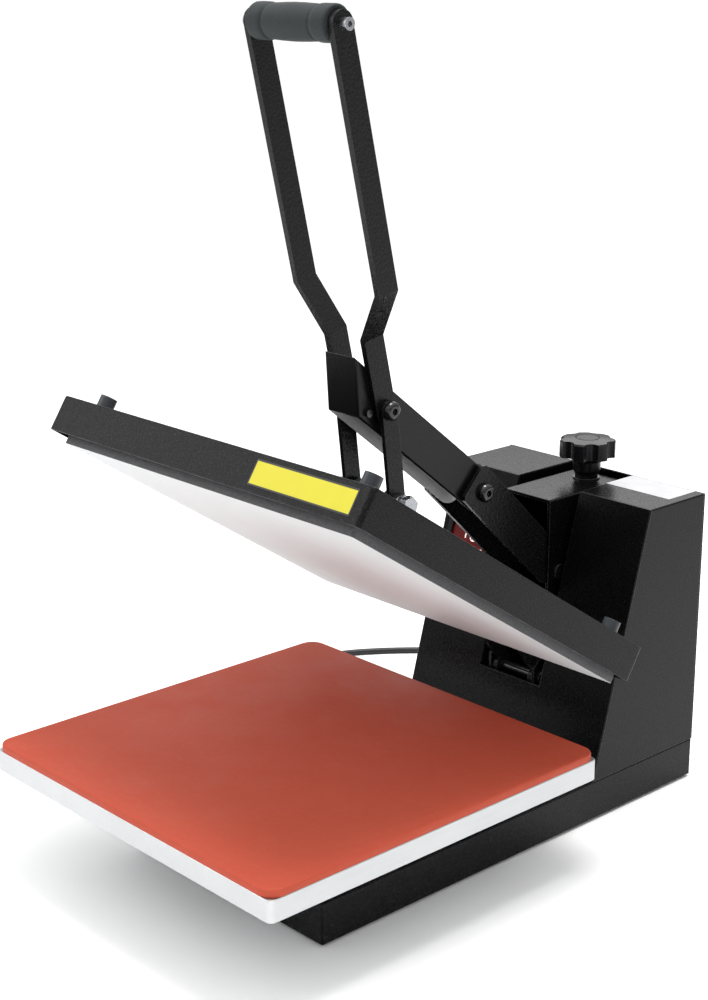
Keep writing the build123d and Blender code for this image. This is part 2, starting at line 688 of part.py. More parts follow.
GRIP_HALF, COLLAR = 47.6, 19.0
with BuildPart() as foam_grip:
    with BuildSketch(Plane.XY.offset(GRIP[1])):
        with BuildLine():
            l1 = Polyline(
                (-GRIP_HALF, GRIP[0] + 8.05), (-GRIP_HALF, GRIP[0] + 14.7),
                (-GRIP_HALF + 1, GRIP[0] + 15.5), (-GRIP_HALF + COLLAR - 1, GRIP[0] + 15.5),
                (-GRIP_HALF + COLLAR, GRIP[0] + 14.2),
            )
            ThreePointArc(
                (-GRIP_HALF + COLLAR, GRIP[0] + 14.2), (0, GRIP[0] + 15.6),
                (GRIP_HALF - COLLAR, GRIP[0] + 14.2),
            )
            Polyline(
                (GRIP_HALF - COLLAR, GRIP[0] + 14.2), (GRIP_HALF - COLLAR + 1, GRIP[0] + 15.5),
                (GRIP_HALF - 1, GRIP[0] + 15.5), (GRIP_HALF, GRIP[0] + 14.7),
                (GRIP_HALF, GRIP[0] + 8.05), (-GRIP_HALF, GRIP[0] + 8.05),
            )
        make_face()
    revolve(axis=Axis((0, GRIP[0], GRIP[1]), (1, 0, 0)))
save(foam_grip, "foam_grip")

with BuildPart() as grip_screws:
    for side in (-1, 1):
        with BuildSketch(slab(BAR_OUT - 20, 20 + BAR_T, side)):
            with Locations(GRIP):
                Circle(4)
        extrude(amount=20 + BAR_T)
        with BuildSketch(slab(BAR_OUT + BAR_T, 8, side)):
            with Locations(GRIP):
                Circle(5.2)
        extrude(amount=8)
        with BuildSketch(slab(BAR_OUT + BAR_T + 4, 4, side)):
            with Locations(GRIP):
                RegularPolygon(2.7, 6)
        extrude(amount=4, mode=Mode.SUBTRACT)
save(grip_screws, "grip_screws")

save(cross_bolt(KNEE, 5.0, LINK_IN + LINK_T + 0.3, 8.6, 6.0), "knee_bolt")


# ---------------------------------------------------------------- upper platen, tilted open
CLOSED_ORIGIN = (PLATEN_Y - HEATER_D / 2 - HEATER_J, PAD_TOP + CLOSED_GAP + HEATER_DROP)
OPEN_ORIGIN = turned(CLOSED_ORIGIN, HINGE, -OPEN_ANGLE)
TILT = math.radians(OPEN_ANGLE)
UPPER = Plane(
    origin=(0, OPEN_ORIGIN[0], OPEN_ORIGIN[1]),
    x_dir=(1, 0, 0),
    z_dir=(0, math.sin(TILT), math.cos(TILT)),
)


def upper_yz(j, k):
    """(y, z) of a point of the upper platen in its open position."""
    return (
        OPEN_ORIGIN[0] + j * math.cos(TILT) + k * math.sin(TILT),
        OPEN_ORIGIN[1] - j * math.sin(TILT) + k * math.cos(TILT),
    )


LINK_FOOT = upper_yz(LINK_J, LINK_K)
LINK_LENGTH = math.dist(KNEE, LINK_FOOT)
WINDOW_W, WINDOW_D = 92.0, 92.0
STUD_X, STUD_J = 171.0, 174.0
HEATER_MID = HEATER_J + HEATER_D / 2

with BuildPart() as platen_cover:
    with BuildSketch(UPPER):
        with Locations((0, COVER_D / 2)):
            RectangleRounded(COVER_W, COVER_D, 4)
    extrude(amount=COVER_H)
    fillet(platen_cover.faces().sort_by(Axis(UPPER.origin, UPPER.z_dir))[-1].edges(), radius=2)
    with BuildSketch(UPPER):
        with Locations((0, COVER_D / 2)):
            RectangleRounded(COVER_W - 2 * COVER_T, COVER_D - 2 * COVER_T, 2.5)
    extrude(amount=COVER_H - COVER_T, mode=Mode.SUBTRACT)
    with BuildSketch(UPPER.offset(COVER_H - 5)):
        with Locations((0, LINK_J)):
            RectangleRounded(WINDOW_W, WINDOW_D, 4)
        with Locations((0, HEATER_MID)):
            with GridLocations(2 * STUD_X, 2 * STUD_J, 2, 2):
                Circle(3.3)
    extrude(amount=10, mode=Mode.SUBTRACT)
save(platen_cover, "platen_cover")

GROOVE_W, GROOVE_D = 9.0, 9.0
LOOP_W, LOOP_D, LOOPS = 40.0, 250.0, 4
HEATER_TOP = HEATER_T - HEATER_DROP
with BuildPart() as heating_plate:
    with BuildSketch(UPPER.offset(-HEATER_DROP)):
        with Locations((0, HEATER_MID)):
            RectangleRounded(HEATER_W, HEATER_D, 3)
    extrude(amount=HEATER_T)
    for size in (150, 300):
        with BuildSketch(UPPER.offset(HEATER_TOP - GROOVE_D)):
            with Locations((0, HEATER_MID)):
                RectangleRounded(size + GROOVE_W, size + GROOVE_W, 20 + GROOVE_W / 2)
                RectangleRounded(size - GROOVE_W, size - GROOVE_W, 20 - GROOVE_W / 2, mode=Mode.SUBTRACT)
        extrude(amount=GROOVE_D, mode=Mode.SUBTRACT)
save(heating_plate, "heating_plate")

with BuildPart() as heating_elements:
    for size in (150, 300):
        with BuildSketch(UPPER.offset(HEATER_TOP - GROOVE_D + 0.5)):
            with Locations((0, HEATER_MID)):
                RectangleRounded(size + 8, size + 8, 24)
                RectangleRounded(size - 8, size - 8, 16, mode=Mode.SUBTRACT)
        extrude(amount=8)
save(heating_elements, "heating_elements")

with BuildPart() as insulation_board:
    with BuildSketch(UPPER.offset(HEATER_TOP + 0.2)):
        with Locations((0, HEATER_MID)):
            Rectangle(HEATER_W - 6, HEATER_D - 6)
            with GridLocations(2 * STUD_X, 2 * STUD_J, 2, 2):
                Circle(8.5, mode=Mode.SUBTRACT)
        with Locations((0, LINK_J)):
            Rectangle(WINDOW_W + 4, WINDOW_D + 4, mode=Mode.SUBTRACT)
        with Locations((80, HEATER_MID)):
            Rectangle(24, 14, mode=Mode.SUBTRACT)
    extrude(amount=10)
save(insulation_board, "insulation_board")

with BuildPart() as thermostat:
    with BuildSketch(UPPER.offset(HEATER_TOP)):
        with Locations((80, HEATER_MID)):
            Rectangle(22, 12)
    extrude(amount=3)
    with BuildSketch(UPPER.offset(HEATER_TOP + 3)):
        with Locations((80, HEATER_MID)):
            Circle(5.5)
    extrude(amount=8)
save(thermostat, "thermostat")

with BuildPart() as cover_studs:
    with BuildSketch(UPPER.offset(HEATER_TOP)):
        with Locations((0, HEATER_MID)):
            with GridLocations(2 * STUD_X, 2 * STUD_J, 2, 2):
                Circle(7)
    extrude(amount=COVER_H - COVER_T - HEATER_TOP)
    with BuildSketch(UPPER.offset(COVER_H - COVER_T)):
        with Locations((0, HEATER_MID)):
            with GridLocations(2 * STUD_X, 2 * STUD_J, 2, 2):
                Circle(3)
    extrude(amount=COVER_T)
    with BuildSketch(UPPER.offset(COVER_H)):
        with Locations((0, HEATER_MID)):
            with GridLocations(2 * STUD_X, 2 * STUD_J, 2, 2):
                Circle(7.8)
    extrude(amount=12.8)
save(cover_studs, "cover_studs")

YOKE_FLOOR = HEATER_TOP + 5.0
with BuildPart() as yoke_base:
    with BuildSketch(UPPER.offset(HEATER_TOP)):
        with Locations((0, LINK_J)):
            RectangleRounded(84, 84, 3)
            with GridLocations(66, 66, 2, 2):
                Circle(4.2, mode=Mode.SUBTRACT)
    extrude(amount=5)
save(yoke_base, "yoke_base")

with BuildPart() as yoke_bolts:
    with BuildSketch(UPPER.offset(YOKE_FLOOR)):
        with Locations((0, LINK_J)):
            with GridLocations(66, 66, 2, 2):
                RegularPolygon(7, 6)
    extrude(amount=5)
    with BuildSketch(UPPER.offset(HEATER_TOP)):
        with Locations((0, LINK_J)):
            with GridLocations(66, 66, 2, 2):
                Circle(4)
    extrude(amount=5)
save(yoke_bolts, "yoke_bolts")

HINGE_J = CLOSED_ORIGIN[0] * -1 + HINGE[0]
HINGE_K = HINGE[1] - CLOSED_ORIGIN[1]


def yoke_plate(side):
    """Side plate of the platen's yoke: foot, ear for the link, and the arm back to the hinge."""
    outline = [
        (LINK_J - 30, YOKE_FLOOR), (LINK_J + 36, YOKE_FLOOR), (LINK_J + 36, 36),
        (COVER_D + 2.5, 36), (COVER_D + 2.5, 24), (HINGE_J - 24, HINGE_K + 6.5),
        (HINGE_J - 10, HINGE_K + 4), (HINGE_J, HINGE_K), (HINGE_J + 6, HINGE_K + 8),
        (COVER_D + 12, 54), (LINK_J + 26, 54), (LINK_J + 8, LINK_K + 9), (LINK_J - 9, LINK_K + 8),
    ]
    with BuildPart() as plate:
        with BuildSketch(slab(YOKE_IN, YOKE_T, side)):
            with BuildLine():
                Polyline(*[upper_yz(j, k) for j, k in outline], close=True)
            make_face()
            with Locations(LINK_FOOT):
                Circle(12)
            with Locations(HINGE):
                Circle(11)
                Circle(5 + FIT, mode=Mode.SUBTRACT)
            with Locations(LINK_FOOT):
                Circle(5 + FIT, mode=Mode.SUBTRACT)
        extrude(amount=YOKE_T)
    return plate


for side, name in ((-1, "yoke_plate_left"), (1, "yoke_plate_right")):
    save(yoke_plate(side), name)

with BuildPart() as yoke_pin:
    with BuildSketch(Plane.YZ.offset(-YOKE_IN - YOKE_T)):
        with Locations(LINK_FOOT):
            Circle(5)
    extrude(amount=2 * (YOKE_IN + YOKE_T))
save(yoke_pin, "yoke_pin")

LABEL_X, LABEL_K, LABEL_W, LABEL_H = 129.0, 16.8, 118.0, 22.0
with BuildPart() as caution_label:
    with BuildSketch(Plane(origin=UPPER.origin, x_dir=(1, 0, 0), z_dir=-UPPER.y_dir)):
        with Locations((LABEL_X, LABEL_K)):
            RectangleRounded(LABEL_W, LABEL_H, 1)
    extrude(amount=0.25)
save(caution_label, "caution_label")


# ---------------------------------------------------------------- links
def link_bar(side):
    """Flat link from the knee down to the yoke."""
    with BuildPart() as link:
        with BuildSketch(slab(LINK_IN, LINK_T, side)):
            with BuildLine():
                Polyline(
                    along(KNEE, LINK_FOOT, 0, LINK_W / 2), along(KNEE, LINK_FOOT, LINK_LENGTH, LINK_W / 2),
                    along(KNEE, LINK_FOOT, LINK_LENGTH, -LINK_W / 2), along(KNEE, LINK_FOOT, 0, -LINK_W / 2),
                    close=True,
                )
            make_face()
            with Locations(KNEE, LINK_FOOT):
                Circle(LINK_W / 2)
            with Locations(KNEE, LINK_FOOT):
                Circle(5 + FIT, mode=Mode.SUBTRACT)
        extrude(amount=LINK_T)
    return link


for side, name in ((-1, "link_bar_left"), (1, "link_bar_right")):
    save(link_bar(side), name)

with BuildPart() as link_bolts:
    for side in (-1, 1):
        with BuildSketch(slab(LINK_IN, LINK_T + 13, side)):
            with Locations(LINK_FOOT):
                Circle(5)
        extrude(amount=LINK_T + 13)
        with BuildSketch(slab(LINK_IN + LINK_T, 5.5, side)):
            with Locations(LINK_FOOT):
                RegularPolygon(9.2, 6)
        extrude(amount=5.5)
        with BuildSketch(slab(LINK_IN + LINK_T + 9.5, 6.5, side)):
            with Locations(LINK_FOOT):
                RegularPolygon(9.2, 6, rotation=12)
        extrude(amount=6.5)
save(link_bolts, "link_bolts")

# ---------------------------------------------------------------- power cord
GLAND_ROOT, GLAND_TIP = 6.8, CORD_D / 2 + 1.4
with BuildPart() as cord_gland:
    with BuildSketch(Plane.XY.offset(GLAND[1])):
        with BuildLine():
            Polyline(
                (GLAND[0], BASE_REAR - 6), (GLAND[0] + 9.5, BASE_REAR - 6),
                (GLAND[0] + 9.5, BASE_REAR - SHEET),
                (GLAND[0] + GLAND_ROOT, BASE_REAR - SHEET), (GLAND[0] + GLAND_ROOT, BASE_REAR),
                (GLAND[0] + 9.5, BASE_REAR), (GLAND[0] + 9.5, BASE_REAR + 3), (GLAND[0] + 7, BASE_REAR + 4),
                (GLAND[0] + GLAND_TIP, CORD_EXIT[1]), (GLAND[0], CORD_EXIT[1]), close=True,
            )
        make_face()
    revolve(axis=Axis((GLAND[0], 0, GLAND[1]), (0, 1, 0)))
save(cord_gland, "cord_gland")

CORD_LIE = CORD_D / 2
route = [
    CORD_EXIT,
    (-96.6, 352, 65.2),
    (-98.8, 371, 59.5),
    (-103.5, 388, 48.5),
    (-111, 402, 34),
    (-122.5, 412.5, 20),
    (-138.5, 419, 10),
    (-158, 420.5, 5),
    (-180, 417, CORD_LIE),
    (-208, 409, CORD_LIE),
    (-240, 394, CORD_LIE),
    (-272, 371, CORD_LIE),
    (-303, 340, CORD_LIE),
    (-332, 305, CORD_LIE),
    (-355, 268, CORD_LIE),
    (-368, 225, CORD_LIE),
    (-370, 180, CORD_LIE),
    (-361, 138, CORD_LIE),
    (-349, 102, CORD_LIE),
    (-341.5, 78, CORD_LIE),
    (-339.5, 62, CORD_LIE),
]


def corner_radii(points):
    """Largest tangent arc that each corner's two runs leave room for."""
    radii = []
    for before, here, after in zip(points, points[1:], points[2:]):
        inward = Vector(*here) - Vector(*before)
        outward = Vector(*after) - Vector(*here)
        turn = math.radians(inward.get_angle(outward))
        radii.append(0.45 * min(inward.length, outward.length) / math.tan(turn / 2))
    return radii


cord_radii = corner_radii(route)
print("cord radii", [round(radius) for radius in cord_radii])
with BuildPart() as power_cord:
    with BuildLine() as cord_path:
        FilletPolyline(*route, radius=cord_radii)
    with BuildSketch(Plane(origin=route[0], z_dir=cord_path.line % 0)):
        Circle(CORD_D / 2)
    sweep()
cord_length = cord_path.wires()[0].length
print("cord tube", round(cord_length, 1), "mm; volume over section times length",
      round(power_cord.part.volume / (math.pi * CORD_D**2 / 4 * cord_length), 4))
save(power_cord, "power_cord")

# four turns, two side by side and two high
with BuildPart() as cord_coil:
    with BuildSketch():
        with Locations(COIL_CENTRE):
            Circle(COIL_MID_D / 2 + CORD_D)
            Circle(COIL_MID_D / 2 - CORD_D, mode=Mode.SUBTRACT)
    extrude(amount=2 * CORD_D)
    fillet(cord_coil.edges(), radius=3)
save(cord_coil, "cord_coil")

PLUG_AXIS = (COIL_CENTRE[0], COIL_CENTRE[1] - 22, 2 * CORD_D + 11)
PLUG_PLANE = Plane(origin=PLUG_AXIS, x_dir=(0, 1, 0), z_dir=(1, 0, 0))
with BuildPart() as power_plug:
    with BuildSketch(PLUG_PLANE.offset(8)):
        RectangleRounded(26, 22, 7)
    extrude(amount=34)
    fillet(power_plug.faces().sort_by(Axis.X)[-1].edges(), radius=1.5)
    with BuildSketch(PLUG_PLANE.offset(-14)):
        Circle(4.6)
    with BuildSketch(PLUG_PLANE.offset(8)):
        Circle(7)
    loft()
    with BuildSketch(PLUG_PLANE.offset(42)):
        with Locations((-6.35, 3), (6.35, 3)):
            Rectangle(1.6, 6.4)
        with Locations((0, -6)):
            Circle(2.4)
    extrude(amount=18)
save(power_plug, "power_plug")
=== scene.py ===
"""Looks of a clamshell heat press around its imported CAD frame. Metres, +Z up, +Y to the rear."""

import math

import bmesh
import bpy
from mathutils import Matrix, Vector, noise

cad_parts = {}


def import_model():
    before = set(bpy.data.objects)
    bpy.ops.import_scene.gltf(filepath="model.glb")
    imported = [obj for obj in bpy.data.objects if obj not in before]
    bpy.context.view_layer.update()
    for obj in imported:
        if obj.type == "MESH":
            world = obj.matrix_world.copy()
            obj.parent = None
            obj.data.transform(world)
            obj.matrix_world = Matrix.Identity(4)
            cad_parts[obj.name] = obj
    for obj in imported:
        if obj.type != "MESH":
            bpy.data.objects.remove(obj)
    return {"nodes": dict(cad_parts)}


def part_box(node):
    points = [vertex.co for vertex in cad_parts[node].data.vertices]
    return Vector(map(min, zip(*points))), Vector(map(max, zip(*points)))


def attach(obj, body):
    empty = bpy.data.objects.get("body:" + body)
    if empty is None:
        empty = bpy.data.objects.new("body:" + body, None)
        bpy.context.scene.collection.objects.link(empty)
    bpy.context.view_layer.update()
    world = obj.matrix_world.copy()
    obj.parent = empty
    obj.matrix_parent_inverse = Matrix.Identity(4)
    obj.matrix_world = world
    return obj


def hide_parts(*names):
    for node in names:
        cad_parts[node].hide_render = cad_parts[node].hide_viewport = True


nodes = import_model()["nodes"]
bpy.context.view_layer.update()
scene = bpy.context.scene
MM = 0.001

# ---------------------------------------------------------------- camera and stage
CAMERA_AT = (1.1397, -1.0945, 0.7908)
CAMERA_YAW, CAMERA_PITCH, CAMERA_LENS = 47.25, 16.5, 66.04

camera_data = bpy.data.cameras.new("camera")
camera_data.lens = CAMERA_LENS
camera_data.sensor_width = 36
camera = bpy.data.objects.new("camera", camera_data)
camera.location = CAMERA_AT
camera.rotation_euler = (math.radians(90 - CAMERA_PITCH), 0, math.radians(CAMERA_YAW))
scene.collection.objects.link(camera)
scene.camera = camera


def link(obj):
    """Put an object in the scene and return it."""
    scene.collection.objects.link(obj)
    return obj


def mesh_object(name, bm, smooth=True):
    """Turn a bmesh into a linked object, with outward normals."""
    bmesh.ops.recalc_face_normals(bm, faces=bm.faces)
    mesh = bpy.data.meshes.new(name)
    bm.to_mesh(mesh)
    bm.free()
    for face in mesh.polygons:
        face.use_smooth = smooth
    return link(bpy.data.objects.new(name, mesh))


# corners of a square, counter-clockwise
SQUARE = ((-1, -1), (1, -1), (1, 1), (-1, 1))


def circle(count):
    """Cosines and sines at even steps round a circle."""
    turns = (2 * math.pi * k / count for k in range(count))
    return [(math.cos(t), math.sin(t)) for t in turns]


def squared(value, power):
    """A cosine or sine bent so that the circle it draws becomes a rounded square."""
    return math.copysign(abs(value) ** (2 / power), value)


def ring(bm, points):
    """New vertices at points given in millimetres."""
    return [bm.verts.new((x * MM, y * MM, z * MM)) for x, y, z in points]


def loft(bm, rings, capped=True):
    """Walls from each ring of vertices to the next, and a face over both ends if capped."""
    for a, b in zip(rings, rings[1:]):
        for k in range(len(a)):
            after = (k + 1) % len(a)
            bm.faces.new((a[k], a[after], b[after], b[k]))
    if capped:
        bm.faces.new(rings[0][::-1])
        bm.faces.new(rings[-1])


# ---------------------------------------------------------------- node helpers
class Nodes:
    """A short way to write a node material."""

    def __init__(self, name):
        self.material = bpy.data.materials.new(name)
        self.material.use_nodes = True
        self.tree = self.material.node_tree
        self.shader = self.tree.nodes["Principled BSDF"]
        self.place = self.add("ShaderNodeTexCoord").outputs["Object"]

    def add(self, kind, inputs=None, **settings):
        """A new node, with its inputs given as values or as other nodes' outputs."""
        node = self.tree.nodes.new(kind)
        for key, value in settings.items():
            setattr(node, key, value)
        for key, value in (inputs or {}).items():
            self.wire(value, node.inputs[key])
        return node

    def wire(self, value, socket):
        """Link an output to an input, or set the input's value."""
        if isinstance(value, bpy.types.NodeSocket):
            self.tree.links.new(value, socket)
        elif isinstance(value, tuple) and len(value) == 3 and socket.type == "RGBA":
            socket.default_value = (*value, 1)
        else:
            socket.default_value = value

    def set(self, **inputs):
        """Inputs of the main shader, with an underscore for each space."""
        for key, value in inputs.items():
            self.wire(value, self.shader.inputs[key.replace("_", " ")])

    def noise(self, scale, detail=2.0, roughness=0.5, place=None):
        made = self.add(
            "ShaderNodeTexNoise",
            {"Vector": place or self.place, "Scale": scale, "Detail": detail, "Roughness": roughness},
        )
        return made.outputs["Fac"]

    def cells(self, scale, feature="F1", output="Distance", place=None, randomness=1.0):
        made = self.add(
            "ShaderNodeTexVoronoi",
            {"Vector": place or self.place, "Scale": scale, "Randomness": randomness},
            feature=feature,
        )
        return made.outputs[output]

    def spread(self, value, low, high, to_low=0.0, to_high=1.0):
        """A value's range mapped onto another, and clamped to it."""
        made = self.add(
            "ShaderNodeMapRange",
            {"Value": value, "From Min": low, "From Max": high, "To Min": to_low, "To Max": to_high},
        )
        return made.outputs["Result"]

    def math(self, operation, a, b=0.0):
        made = self.add("ShaderNodeMath", {0: a, 1: b}, operation=operation)
        return made.outputs[0]

    def mix(self, factor, a, b):
        made = self.add("ShaderNodeMix", data_type="RGBA")
        self.wire(factor, made.inputs["Factor"])
        self.wire(a, made.inputs["A"])
        self.wire(b, made.inputs["B"])
        return made.outputs["Result"]

    def bump(self, height, strength, distance, normal=None):
        inputs = {"Height": height, "Strength": strength, "Distance": distance}
        if normal is not None:
            inputs["Normal"] = normal
        return self.add("ShaderNodeBump", inputs).outputs["Normal"]

    def edge(self, radius):
        """A normal rounded over the edges, and a mask of those edges."""
        soft = self.add("ShaderNodeBevel", {"Radius": radius}, samples=6).outputs["Normal"]
        true = self.add("ShaderNodeNewGeometry").outputs["True Normal"]
        facing = self.add("ShaderNodeVectorMath", {0: soft, 1: true}, operation="DOT_PRODUCT")
        return soft, self.spread(facing.outputs["Value"], 0.995, 0.86)

    def axis(self, letter):
        """One of the object's own coordinates."""
        parts = self.add("ShaderNodeSeparateXYZ", {"Vector": self.place})
        return parts.outputs[letter]


def powder_coat(name, base, speck, cell, depth, rough, gloss=0.2, edge_radius=0.7, edge_lightening=0.35):
    """Hammered powder coat: small rounded cells, lighter flakes, and edges painted lighter, partly as rubbed
    coat and partly as a painted highlight.
    """
    n = Nodes(name)
    soft, rim = n.edge(edge_radius * MM)
    bumps = n.cells(cell, feature="SMOOTH_F1")
    grain = n.noise(cell * 2.6, 3)
    height = n.math("ADD", bumps, n.math("MULTIPLY", grain, 0.45))
    flakes = n.spread(n.noise(cell * 1.5, 3, 0.6), 0.5, 0.74)
    cloudy = n.mix(n.noise(9, 4), tuple(v * 0.82 for v in base), tuple(v * 1.2 for v in base))
    coated = n.mix(flakes, cloudy, speck)
    # edges painted lighter: partly rubbed coat, partly a painted highlight along the edges
    worn_and_lit_edges = n.math("MULTIPLY", rim, n.spread(n.noise(60, 4), 0.35, 0.65, 0.35, 1.0))
    n.set(
        Base_Color=n.mix(n.math("MULTIPLY", worn_and_lit_edges, edge_lightening), coated, (0.16, 0.16, 0.165)),
        Roughness=n.spread(n.noise(cell * 0.8, 2), 0.3, 0.7, rough - 0.06, rough + 0.07),
        Specular_IOR_Level=gloss,
        Normal=n.bump(height, 0.6, depth * MM, soft),
    )
    return n.material


def metal(name, base, rough, streak=None, bump=0.12):
    """Bare or plated metal with fine streaks and a painted highlight along its edges."""
    n = Nodes(name)
    soft, rim = n.edge(0.4 * MM)
    place = n.place
    if streak:
        place = n.add("ShaderNodeMapping", {"Vector": n.place, "Scale": streak}).outputs["Vector"]
    lines = n.noise(700, 4, 0.6, place)
    tone = n.mix(n.noise(14, 3), tuple(v * 0.9 for v in base), tuple(min(1, v * 1.06) for v in base))
    n.set(
        # edges painted lighter: a painted highlight along the edges
        Base_Color=n.mix(n.math("MULTIPLY", rim, 0.3), tone, (0.9, 0.9, 0.9)),
        Metallic=1.0,
        Roughness=n.spread(lines, 0.3, 0.7, rough - 0.07, rough + 0.09),
        Normal=n.bump(lines, bump, 0.05 * MM, soft),
    )
    return n.material


def moulded(name, base, rough, grain=900, depth=0.04, sheen=0.0, edge_radius=0.5, gloss=0.35):
    """Moulded plastic or rubber with a fine grain and a painted highlight along its edges."""
    n = Nodes(name)
    soft, rim = n.edge(edge_radius * MM)
    tone = n.mix(n.noise(40, 3), tuple(v * 0.85 for v in base), tuple(v * 1.18 for v in base))
    n.set(
        # edges painted lighter: a painted highlight along the edges
        Base_Color=n.mix(n.math("MULTIPLY", rim, 0.12), tone, (0.4, 0.4, 0.4)),
        Roughness=n.spread(n.noise(grain * 0.5, 2), 0.3, 0.7, rough - 0.05, rough + 0.06),
        Specular_IOR_Level=gloss,
        Sheen_Weight=sheen,
        Normal=n.bump(n.noise(grain, 3), 0.4, depth * MM, soft),
    )
    return n.material


# ---------------------------------------------------------------- materials
# how far the upper plate stands open at rest
PLATEN_OPEN = math.radians(33.06)

coat = powder_coat(
    "coat_black", (0.0036, 0.0036, 0.004), (0.011, 0.011, 0.012),
    cell=430, depth=0.36, rough=0.28,
)
# the cover's edges take the painted edge highlight at full strength
coat_cover = powder_coat(
    "coat_cover", (0.002, 0.002, 0.0022), (0.034, 0.034, 0.036),
    cell=700, depth=0.22, rough=0.34, gloss=0.12, edge_radius=1.1, edge_lightening=1.0,
)
coat_housing = powder_coat(
    "coat_housing", (0.0022, 0.0022, 0.0026), (0.004, 0.004, 0.0044),
    cell=620, depth=0.07, rough=0.26, gloss=0.15, edge_radius=0.9,
)
zinc = metal("zinc", (0.36, 0.37, 0.39), 0.26)
dark_steel = moulded("dark_steel", (0.006, 0.006, 0.007), 0.2, 500, 0.02, edge_radius=0.6, gloss=0.6)
stud_coat = moulded("stud_grey", (0.032, 0.036, 0.042), 0.36)
plate_metal = metal("plate_ground", (0.55, 0.56, 0.57), 0.44, streak=(1, 0.03, 1), bump=0.25)
standoff_metal = metal("standoff_satin", (0.82, 0.82, 0.84), 0.4)
knob_plastic = moulded("knob_plastic", (0.004, 0.004, 0.005), 0.28, 1400, 0.03, gloss=0.2)
gloss_plastic = moulded("gloss_plastic", (0.01, 0.01, 0.011), 0.18, 600, 0.01)
red_plastic = moulded("red_plastic", (0.35, 0.012, 0.01), 0.22, 600, 0.01)
key_plastic = moulded("key_plastic", (0.35, 0.35, 0.36), 0.4)
rubber = moulded("rubber", (0.014, 0.014, 0.015), 0.6, 500, 0.05)
cord_jacket = moulded("cord_jacket", (0.016, 0.016, 0.017), 0.42, 1200, 0.02, edge_radius=0.2)
plug_rubber = moulded("plug_rubber", (0.018, 0.018, 0.019), 0.45, 1100, 0.03)
board = moulded("board_green", (0.01, 0.11, 0.045), 0.45)
relay = moulded("relay_plastic", (0.03, 0.03, 0.035), 0.4)
heater = metal("heater_steel", (0.3, 0.27, 0.24), 0.4)
wool = moulded("insulation", (0.72, 0.7, 0.64), 0.9, 260, 0.5, sheen=0.3)
label_white = moulded("label_white", (0.42, 0.42, 0.43), 0.35, 400, 0.005, edge_radius=0.1)


def silicone_material():
    """Terracotta silicone, slightly patchy and dusty, with a painted highlight along its edges."""
    n = Nodes("silicone")
    soft, rim = n.edge(0.8 * MM)
    patches = n.mix(n.noise(5, 5, 0.6), (0.39, 0.058, 0.030), (0.44, 0.069, 0.036))
    dust = n.spread(n.noise(180, 4, 0.65), 0.5, 0.75)
    tone = n.mix(n.math("MULTIPLY", dust, 0.14), patches, (0.60, 0.13, 0.075))
    height = n.math("ADD", n.noise(420, 4), n.math("MULTIPLY", n.cells(900), 0.35))
    n.set(
        # edges painted lighter: a painted highlight along the edges
        Base_Color=n.mix(n.math("MULTIPLY", rim, 0.25), tone, (0.66, 0.17, 0.11)),
        Roughness=n.spread(n.noise(30, 3), 0.3, 0.7, 0.5, 0.62),
        Specular_IOR_Level=0.16,
        Normal=n.bump(height, 0.25, 0.08 * MM, soft),
    )
    return n.material


def underside_material():
    """Heating plate: pale face below, dark cast sides, and a painted highlight along the edges.

    The face is a slightly cool grey, which offsets the red light that it takes up from the pad.
    """
    n = Nodes("heating_plate")
    soft, rim = n.edge(0.6 * MM)
    turned = n.add("ShaderNodeVectorMath", operation="DOT_PRODUCT")
    n.wire(n.add("ShaderNodeTexCoord").outputs["Normal"], turned.inputs[0])
    turned.inputs[1].default_value = (0, -math.sin(PLATEN_OPEN), -math.cos(PLATEN_OPEN))
    below = n.spread(turned.outputs["Value"], 0.9, 0.97)
    place = n.add("ShaderNodeMapping", {"Vector": n.place, "Scale": (1, 0.04, 0.04)}).outputs["Vector"]
    streaks = n.noise(320, 4, 0.6, place)
    face = n.mix(n.noise(7, 4), (0.56, 0.61, 0.62), (0.62, 0.67, 0.68))
    cast = n.mix(n.noise(420, 4, 0.7), (0.02, 0.02, 0.022), (0.13, 0.13, 0.135))
    # edges painted lighter: a painted highlight along the edges
    cast = n.mix(n.math("MULTIPLY", rim, 0.8), cast, (0.6, 0.6, 0.6))
    n.set(
        Base_Color=n.mix(below, cast, face),
        Roughness=n.spread(streaks, 0.3, 0.7, 0.42, 0.56),
        Specular_IOR_Level=0.25,
        Normal=n.bump(streaks, 0.2, 0.05 * MM, soft),
    )
    return n.material


def arm_material():
    """Black coat outside with a painted highlight along its edges, and the inner faces of the channel painted
    pale grey as a painted reflection of the bright floor.
    """
    n = Nodes("arm_coat")
    soft, rim = n.edge(0.8 * MM)
    bumps = n.cells(560, feature="SMOOTH_F1")
    # the inner faces of the channel are painted pale grey: a painted reflection of the bright floor below
    inner = n.spread(n.math("ABSOLUTE", n.axis("X")), 18.6 * MM, 18.0 * MM)
    facing = n.add("ShaderNodeSeparateXYZ", {"Vector": n.add("ShaderNodeTexCoord").outputs["Normal"]})
    painted_reflection = n.math("MULTIPLY", inner, n.spread(n.math("ABSOLUTE", facing.outputs["X"]), 0.9, 0.95))
    black = n.mix(n.noise(9, 4), (0.0032, 0.0032, 0.0036), (0.0044, 0.0044, 0.005))
    # edges painted lighter: a painted highlight along the edges
    worn_and_lit_edges = n.mix(n.math("MULTIPLY", rim, 0.4), black, (0.16, 0.16, 0.165))
    grey = n.mix(n.noise(240, 4), (0.82, 0.82, 0.83), (0.93, 0.93, 0.94))
    n.set(
        Base_Color=n.mix(painted_reflection, worn_and_lit_edges, grey),
        Roughness=n.spread(painted_reflection, 0, 1, 0.32, 0.5),
        Specular_IOR_Level=n.spread(painted_reflection, 0, 1, 0.24, 0.5),
        Normal=n.bump(bumps, 0.5, 0.2 * MM, soft),
    )
    return n.material


